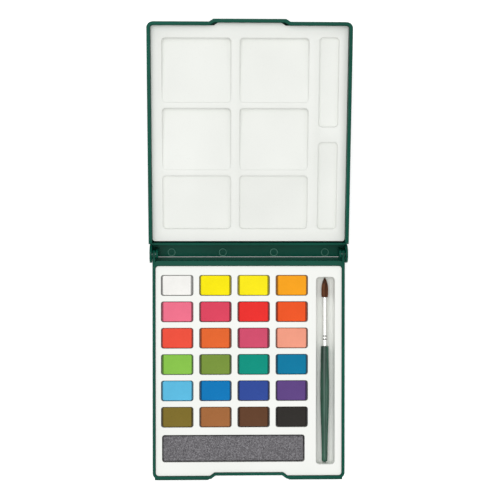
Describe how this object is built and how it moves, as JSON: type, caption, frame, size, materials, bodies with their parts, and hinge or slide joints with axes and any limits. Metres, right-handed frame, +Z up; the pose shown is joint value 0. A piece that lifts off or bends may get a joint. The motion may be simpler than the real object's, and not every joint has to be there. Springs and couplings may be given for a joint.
{
  "type": "watercolor pan set",
  "caption": "Hinged plastic watercolour case with loose pans of paint, a sponge, a short brush and a lift-out mixing palette in the lid.",
  "frame": {"origin": "centre of the tray's underside, on the table", "axes": "+X across the case towards the brush, +Y along the case towards the hinge and the open lid, +Z up"},
  "size_m": [0.1196, 0.2745, 0.0371],
  "materials": {
    "case_plastic": "moulded, glossy dark green",
    "insert_plastic": "moulded, satin white",
    "palette_plastic": "moulded, glossy white",
    "cup_plastic": "moulded, white",
    "pin_steel": "drawn wire",
    "sponge_foam": "open-cell foam, dry",
    "hair": "brown hair, dry",
    "ferrule_metal": "bright plated tube",
    "handle_lacquer": "dark green gloss lacquer",
    "paint_white": "dried watercolour, slightly satin",
    "paint_lemon_yellow": "dried watercolour, slightly satin",
    "paint_warm_yellow": "dried watercolour, slightly satin",
    "paint_golden_yellow": "dried watercolour, slightly satin",
    "paint_rose_pink": "dried watercolour, slightly satin",
    "paint_carmine": "dried watercolour, slightly satin",
    "paint_scarlet": "dried watercolour, slightly satin",
    "paint_orange_red": "dried watercolour, slightly satin",
    "paint_vermilion": "dried watercolour, slightly satin",
    "paint_orange": "dried watercolour, slightly satin",
    "paint_rose_madder": "dried watercolour, slightly satin",
    "paint_salmon": "dried watercolour, slightly satin",
    "paint_leaf_green": "dried watercolour, slightly satin",
    "paint_olive_green": "dried watercolour, slightly satin",
    "paint_viridian": "dried watercolour, slightly satin",
    "paint_turquoise": "dried watercolour, slightly satin",
    "paint_sky_blue": "dried watercolour, slightly satin",
    "paint_cerulean": "dried watercolour, slightly satin",
    "paint_ultramarine": "dried watercolour, slightly satin",
    "paint_violet": "dried watercolour, slightly satin",
    "paint_ochre": "dried watercolour, slightly satin",
    "paint_burnt_sienna": "dried watercolour, slightly satin",
    "paint_burnt_umber": "dried watercolour, slightly satin",
    "paint_black": "dried watercolour, slightly satin"
  },
  "bodies": {
    "tray": {"base_tray": "case_plastic", "paint_insert": "insert_plastic"},
    "lid": {"lid": "case_plastic", "hinge_pin_left": "pin_steel", "hinge_pin_right": "pin_steel"},
    "palette": {"mixing_palette": "palette_plastic"},
    "sponge": {"sponge": "sponge_foam"},
    "brush": {"brush_handle": "handle_lacquer", "brush_ferrule": "ferrule_metal", "brush_bristles": "hair"},
    "pan_white": {"cup_white": "cup_plastic", "paint_white": "paint_white"},
    "pan_lemon_yellow": {"cup_lemon_yellow": "cup_plastic", "paint_lemon_yellow": "paint_lemon_yellow"},
    "pan_warm_yellow": {"cup_warm_yellow": "cup_plastic", "paint_warm_yellow": "paint_warm_yellow"},
    "pan_golden_yellow": {"cup_golden_yellow": "cup_plastic", "paint_golden_yellow": "paint_golden_yellow"},
    "pan_rose_pink": {"cup_rose_pink": "cup_plastic", "paint_rose_pink": "paint_rose_pink"},
    "pan_carmine": {"cup_carmine": "cup_plastic", "paint_carmine": "paint_carmine"},
    "pan_scarlet": {"cup_scarlet": "cup_plastic", "paint_scarlet": "paint_scarlet"},
    "pan_orange_red": {"cup_orange_red": "cup_plastic", "paint_orange_red": "paint_orange_red"},
    "pan_vermilion": {"cup_vermilion": "cup_plastic", "paint_vermilion": "paint_vermilion"},
    "pan_orange": {"cup_orange": "cup_plastic", "paint_orange": "paint_orange"},
    "pan_rose_madder": {"cup_rose_madder": "cup_plastic", "paint_rose_madder": "paint_rose_madder"},
    "pan_salmon": {"cup_salmon": "cup_plastic", "paint_salmon": "paint_salmon"},
    "pan_leaf_green": {"cup_leaf_green": "cup_plastic", "paint_leaf_green": "paint_leaf_green"},
    "pan_olive_green": {"cup_olive_green": "cup_plastic", "paint_olive_green": "paint_olive_green"},
    "pan_viridian": {"cup_viridian": "cup_plastic", "paint_viridian": "paint_viridian"},
    "pan_turquoise": {"cup_turquoise": "cup_plastic", "paint_turquoise": "paint_turquoise"},
    "pan_sky_blue": {"cup_sky_blue": "cup_plastic", "paint_sky_blue": "paint_sky_blue"},
    "pan_cerulean": {"cup_cerulean": "cup_plastic", "paint_cerulean": "paint_cerulean"},
    "pan_ultramarine": {"cup_ultramarine": "cup_plastic", "paint_ultramarine": "paint_ultramarine"},
    "pan_violet": {"cup_violet": "cup_plastic", "paint_violet": "paint_violet"},
    "pan_ochre": {"cup_ochre": "cup_plastic", "paint_ochre": "paint_ochre"},
    "pan_burnt_sienna": {"cup_burnt_sienna": "cup_plastic", "paint_burnt_sienna": "paint_burnt_sienna"},
    "pan_burnt_umber": {"cup_burnt_umber": "cup_plastic", "paint_burnt_umber": "paint_burnt_umber"},
    "pan_black": {"cup_black": "cup_plastic", "paint_black": "paint_black"}
  },
  "joints": [
    {"name": "lid_hinge", "type": "hinge", "parent": "tray", "child": "lid", "pos_m": [0, 0.0694, 0.01154], "axis": [-1, 0, 0], "range_deg": [-170, 0]},
    {"name": "palette_lift", "type": "slide", "parent": "lid", "child": "palette", "axis": [0, -0.1736, 0.9848], "range_m": [0, 0.03]},
    {"name": "brush_lift", "type": "slide", "parent": "tray", "child": "brush", "axis": [0, 0, 1], "range_m": [0, 0.035]},
    {"name": "sponge_lift", "type": "slide", "parent": "tray", "child": "sponge", "axis": [0, 0, 1], "range_m": [0, 0.03]},
    {"name": "watercolour_pan_white_lift", "type": "slide", "parent": "tray", "child": "pan_white", "axis": [0, 0, 1], "range_m": [0, 0.025]},
    {"name": "watercolour_pan_lemon_yellow_lift", "type": "slide", "parent": "tray", "child": "pan_lemon_yellow", "axis": [0, 0, 1], "range_m": [0, 0.025]},
    {"name": "watercolour_pan_warm_yellow_lift", "type": "slide", "parent": "tray", "child": "pan_warm_yellow", "axis": [0, 0, 1], "range_m": [0, 0.025]},
    {"name": "watercolour_pan_golden_yellow_lift", "type": "slide", "parent": "tray", "child": "pan_golden_yellow", "axis": [0, 0, 1], "range_m": [0, 0.025]},
    {"name": "watercolour_pan_rose_pink_lift", "type": "slide", "parent": "tray", "child": "pan_rose_pink", "axis": [0, 0, 1], "range_m": [0, 0.025]},
    {"name": "watercolour_pan_carmine_lift", "type": "slide", "parent": "tray", "child": "pan_carmine", "axis": [0, 0, 1], "range_m": [0, 0.025]},
    {"name": "watercolour_pan_scarlet_lift", "type": "slide", "parent": "tray", "child": "pan_scarlet", "axis": [0, 0, 1], "range_m": [0, 0.025]},
    {"name": "watercolour_pan_orange_red_lift", "type": "slide", "parent": "tray", "child": "pan_orange_red", "axis": [0, 0, 1], "range_m": [0, 0.025]},
    {"name": "watercolour_pan_vermilion_lift", "type": "slide", "parent": "tray", "child": "pan_vermilion", "axis": [0, 0, 1], "range_m": [0, 0.025]},
    {"name": "watercolour_pan_orange_lift", "type": "slide", "parent": "tray", "child": "pan_orange", "axis": [0, 0, 1], "range_m": [0, 0.025]},
    {"name": "watercolour_pan_rose_madder_lift", "type": "slide", "parent": "tray", "child": "pan_rose_madder", "axis": [0, 0, 1], "range_m": [0, 0.025]},
    {"name": "watercolour_pan_salmon_lift", "type": "slide", "parent": "tray", "child": "pan_salmon", "axis": [0, 0, 1], "range_m": [0, 0.025]},
    {"name": "watercolour_pan_leaf_green_lift", "type": "slide", "parent": "tray", "child": "pan_leaf_green", "axis": [0, 0, 1], "range_m": [0, 0.025]},
    {"name": "watercolour_pan_olive_green_lift", "type": "slide", "parent": "tray", "child": "pan_olive_green", "axis": [0, 0, 1], "range_m": [0, 0.025]},
    {"name": "watercolour_pan_viridian_lift", "type": "slide", "parent": "tray", "child": "pan_viridian", "axis": [0, 0, 1], "range_m": [0, 0.025]},
    {"name": "watercolour_pan_turquoise_lift", "type": "slide", "parent": "tray", "child": "pan_turquoise", "axis": [0, 0, 1], "range_m": [0, 0.025]},
    {"name": "watercolour_pan_sky_blue_lift", "type": "slide", "parent": "tray", "child": "pan_sky_blue", "axis": [0, 0, 1], "range_m": [0, 0.025]},
    {"name": "watercolour_pan_cerulean_lift", "type": "slide", "parent": "tray", "child": "pan_cerulean", "axis": [0, 0, 1], "range_m": [0, 0.025]},
    {"name": "watercolour_pan_ultramarine_lift", "type": "slide", "parent": "tray", "child": "pan_ultramarine", "axis": [0, 0, 1], "range_m": [0, 0.025]},
    {"name": "watercolour_pan_violet_lift", "type": "slide", "parent": "tray", "child": "pan_violet", "axis": [0, 0, 1], "range_m": [0, 0.025]},
    {"name": "watercolour_pan_ochre_lift", "type": "slide", "parent": "tray", "child": "pan_ochre", "axis": [0, 0, 1], "range_m": [0, 0.025]},
    {"name": "watercolour_pan_burnt_sienna_lift", "type": "slide", "parent": "tray", "child": "pan_burnt_sienna", "axis": [0, 0, 1], "range_m": [0, 0.025]},
    {"name": "watercolour_pan_burnt_umber_lift", "type": "slide", "parent": "tray", "child": "pan_burnt_umber", "axis": [0, 0, 1], "range_m": [0, 0.025]},
    {"name": "watercolour_pan_black_lift", "type": "slide", "parent": "tray", "child": "pan_black", "axis": [0, 0, 1], "range_m": [0, 0.025]}
  ]
}
